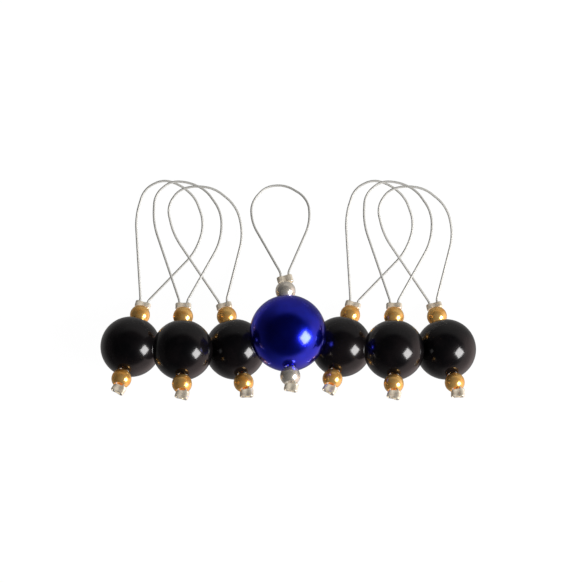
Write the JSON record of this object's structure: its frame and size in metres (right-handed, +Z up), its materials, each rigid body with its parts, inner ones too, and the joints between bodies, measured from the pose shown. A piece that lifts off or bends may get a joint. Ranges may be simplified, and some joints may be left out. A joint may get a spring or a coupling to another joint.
{
  "type": "stitch marker",
  "caption": "Beaded stitch markers for knitting: wire loops that hang on the needle, each carrying a round bead held between small metal spacers and flattened crimps.",
  "frame": {"origin": "centre of the set's footprint, on the table that it lies on", "axes": "+X along the row of beads, +Y from the beads to the needle loops, +Z up from the table"},
  "size_m": [0.062, 0.0363, 0.0182],
  "materials": {
    "black_lacquer": "glossy black bead with a clear hard coat",
    "blue_lacquer": "deep royal blue bead with a pearl undercoat and a clear hard coat",
    "gold_plate": "polished gold-coloured plate",
    "silver_plate": "polished warm silver-coloured plate",
    "crimp_metal": "soft plated metal, pressed flat and a little dull",
    "coated_wire": "stranded steel beading wire in a clear nylon coat"
  },
  "bodies": {
    "left_outer_wire": {"left_outer_wire_loop": "coated_wire", "left_outer_upper_crimp": "crimp_metal", "left_outer_lower_crimp": "crimp_metal"},
    "left_outer_bead": {"left_outer_bead": "black_lacquer"},
    "left_outer_upper_spacer": {"left_outer_upper_spacer": "gold_plate"},
    "left_outer_lower_spacer": {"left_outer_lower_spacer": "gold_plate"},
    "left_middle_wire": {"left_middle_wire_loop": "coated_wire", "left_middle_upper_crimp": "crimp_metal", "left_middle_lower_crimp": "crimp_metal"},
    "left_middle_bead": {"left_middle_bead": "black_lacquer"},
    "left_middle_upper_spacer": {"left_middle_upper_spacer": "gold_plate"},
    "left_middle_lower_spacer": {"left_middle_lower_spacer": "gold_plate"},
    "left_inner_wire": {"left_inner_wire_loop": "coated_wire", "left_inner_upper_crimp": "crimp_metal", "left_inner_lower_crimp": "crimp_metal"},
    "left_inner_bead": {"left_inner_bead": "black_lacquer"},
    "left_inner_upper_spacer": {"left_inner_upper_spacer": "gold_plate"},
    "left_inner_lower_spacer": {"left_inner_lower_spacer": "gold_plate"},
    "centre_wire": {"centre_wire_loop": "coated_wire", "centre_upper_crimp": "crimp_metal", "centre_lower_crimp": "crimp_metal"},
    "centre_bead": {"centre_bead": "blue_lacquer"},
    "centre_upper_spacer": {"centre_upper_spacer": "silver_plate"},
    "centre_lower_spacer": {"centre_lower_spacer": "silver_plate"},
    "right_inner_wire": {"right_inner_wire_loop": "coated_wire", "right_inner_upper_crimp": "crimp_metal", "right_inner_lower_crimp": "crimp_metal"},
    "right_inner_bead": {"right_inner_bead": "black_lacquer"},
    "right_inner_upper_spacer": {"right_inner_upper_spacer": "gold_plate"},
    "right_inner_lower_spacer": {"right_inner_lower_spacer": "gold_plate"},
    "right_middle_wire": {"right_middle_wire_loop": "coated_wire", "right_middle_upper_crimp": "crimp_metal", "right_middle_lower_crimp": "crimp_metal"},
    "right_middle_bead": {"right_middle_bead": "black_lacquer"},
    "right_middle_upper_spacer": {"right_middle_upper_spacer": "gold_plate"},
    "right_middle_lower_spacer": {"right_middle_lower_spacer": "gold_plate"},
    "right_outer_wire": {"right_outer_wire_loop": "coated_wire", "right_outer_upper_crimp": "crimp_metal", "right_outer_lower_crimp": "crimp_metal"},
    "right_outer_bead": {"right_outer_bead": "black_lacquer"},
    "right_outer_upper_spacer": {"right_outer_upper_spacer": "gold_plate"},
    "right_outer_lower_spacer": {"right_outer_lower_spacer": "gold_plate"}
  },
  "joints": [
    {"name": "left_outer_bead_spin", "type": "hinge", "parent": "left_outer_wire", "child": "left_outer_bead", "pos_m": [-0.02597, -0.00949, 0.005], "axis": [0.2319, 0.825, -0.5153], "continuous": true},
    {"name": "left_outer_upper_spacer_spin", "type": "hinge", "parent": "left_outer_wire", "child": "left_outer_upper_spacer", "pos_m": [-0.0245, -0.00425, 0.00173], "axis": [0.2319, 0.825, -0.5153], "continuous": true},
    {"name": "left_outer_lower_spacer_spin", "type": "hinge", "parent": "left_outer_wire", "child": "left_outer_lower_spacer", "pos_m": [-0.02745, -0.01473, 0.00827], "axis": [0.2319, 0.825, -0.5153], "continuous": true},
    {"name": "left_middle_bead_spin", "type": "hinge", "parent": "left_middle_wire", "child": "left_middle_bead", "pos_m": [-0.01737, -0.01001, 0.01017], "axis": [0.0091, 0.866, -0.5], "continuous": true},
    {"name": "left_middle_upper_spacer_spin", "type": "hinge", "parent": "left_middle_wire", "child": "left_middle_upper_spacer", "pos_m": [-0.01731, -0.00451, 0.00699], "axis": [0.0091, 0.866, -0.5], "continuous": true},
    {"name": "left_middle_lower_spacer_spin", "type": "hinge", "parent": "left_middle_wire", "child": "left_middle_lower_spacer", "pos_m": [-0.01743, -0.01551, 0.01334], "axis": [0.0091, 0.866, -0.5], "continuous": true},
    {"name": "left_inner_bead_spin", "type": "hinge", "parent": "left_inner_wire", "child": "left_inner_bead", "pos_m": [-0.00875, -0.00992, 0.005], "axis": [-0.2226, 0.8546, -0.4692], "continuous": true},
    {"name": "left_inner_upper_spacer_spin", "type": "hinge", "parent": "left_inner_wire", "child": "left_inner_upper_spacer", "pos_m": [-0.01016, -0.0045, 0.00202], "axis": [-0.2226, 0.8546, -0.4692], "continuous": true},
    {"name": "left_inner_lower_spacer_spin", "type": "hinge", "parent": "left_inner_wire", "child": "left_inner_lower_spacer", "pos_m": [-0.00733, -0.01535, 0.00798], "axis": [-0.2226, 0.8546, -0.4692], "continuous": true},
    {"name": "centre_bead_spin", "type": "hinge", "parent": "centre_wire", "child": "centre_bead", "pos_m": [-0.00006, -0.00724, 0.01184], "axis": [-0.0506, 0.9049, -0.4226], "continuous": true},
    {"name": "centre_upper_spacer_spin", "type": "hinge", "parent": "centre_wire", "child": "centre_upper_spacer", "pos_m": [-0.00045, -0.00028, 0.00858], "axis": [-0.0506, 0.9049, -0.4226], "continuous": true},
    {"name": "centre_lower_spacer_spin", "type": "hinge", "parent": "centre_wire", "child": "centre_lower_spacer", "pos_m": [0.00033, -0.0142, 0.01509], "axis": [-0.0506, 0.9049, -0.4226], "continuous": true},
    {"name": "right_inner_bead_spin", "type": "hinge", "parent": "right_inner_wire", "child": "right_inner_bead", "pos_m": [0.00875, -0.00949, 0.005], "axis": [0.2319, 0.825, -0.5153], "continuous": true},
    {"name": "right_inner_upper_spacer_spin", "type": "hinge", "parent": "right_inner_wire", "child": "right_inner_upper_spacer", "pos_m": [0.01022, -0.00425, 0.00173], "axis": [0.2319, 0.825, -0.5153], "continuous": true},
    {"name": "right_inner_lower_spacer_spin", "type": "hinge", "parent": "right_inner_wire", "child": "right_inner_lower_spacer", "pos_m": [0.00727, -0.01473, 0.00827], "axis": [0.2319, 0.825, -0.5153], "continuous": true},
    {"name": "right_middle_bead_spin", "type": "hinge", "parent": "right_middle_wire", "child": "right_middle_bead", "pos_m": [0.01735, -0.01001, 0.01017], "axis": [0.0091, 0.866, -0.5], "continuous": true},
    {"name": "right_middle_upper_spacer_spin", "type": "hinge", "parent": "right_middle_wire", "child": "right_middle_upper_spacer", "pos_m": [0.01741, -0.00451, 0.00699], "axis": [0.0091, 0.866, -0.5], "continuous": true},
    {"name": "right_middle_lower_spacer_spin", "type": "hinge", "parent": "right_middle_wire", "child": "right_middle_lower_spacer", "pos_m": [0.0173, -0.01551, 0.01334], "axis": [0.0091, 0.866, -0.5], "continuous": true},
    {"name": "right_outer_bead_spin", "type": "hinge", "parent": "right_outer_wire", "child": "right_outer_bead", "pos_m": [0.02597, -0.00992, 0.005], "axis": [-0.2226, 0.8546, -0.4692], "continuous": true},
    {"name": "right_outer_upper_spacer_spin", "type": "hinge", "parent": "right_outer_wire", "child": "right_outer_upper_spacer", "pos_m": [0.02456, -0.0045, 0.00202], "axis": [-0.2226, 0.8546, -0.4692], "continuous": true},
    {"name": "right_outer_lower_spacer_spin", "type": "hinge", "parent": "right_outer_wire", "child": "right_outer_lower_spacer", "pos_m": [0.02739, -0.01535, 0.00798], "axis": [-0.2226, 0.8546, -0.4692], "continuous": true},
    {"name": "left_outer_lift", "type": "slide", "parent": "right_inner_wire", "child": "left_outer_wire", "axis": [0, 0, 1], "range_m": [0, 0.02]},
    {"name": "left_inner_lift", "type": "slide", "parent": "left_outer_wire", "child": "left_inner_wire", "axis": [0, 0, 1], "range_m": [0, 0.02]},
    {"name": "left_middle_lift", "type": "slide", "parent": "left_inner_wire", "child": "left_middle_wire", "axis": [0, 0, 1], "range_m": [0, 0.02]},
    {"name": "centre_lift", "type": "slide", "parent": "left_inner_wire", "child": "centre_wire", "axis": [0, 0, 1], "range_m": [0, 0.02]},
    {"name": "right_outer_lift", "type": "slide", "parent": "right_inner_wire", "child": "right_outer_wire", "axis": [0, 0, 1], "range_m": [0, 0.02]},
    {"name": "right_middle_lift", "type": "slide", "parent": "right_outer_wire", "child": "right_middle_wire", "axis": [0, 0, 1], "range_m": [0, 0.02]}
  ]
}
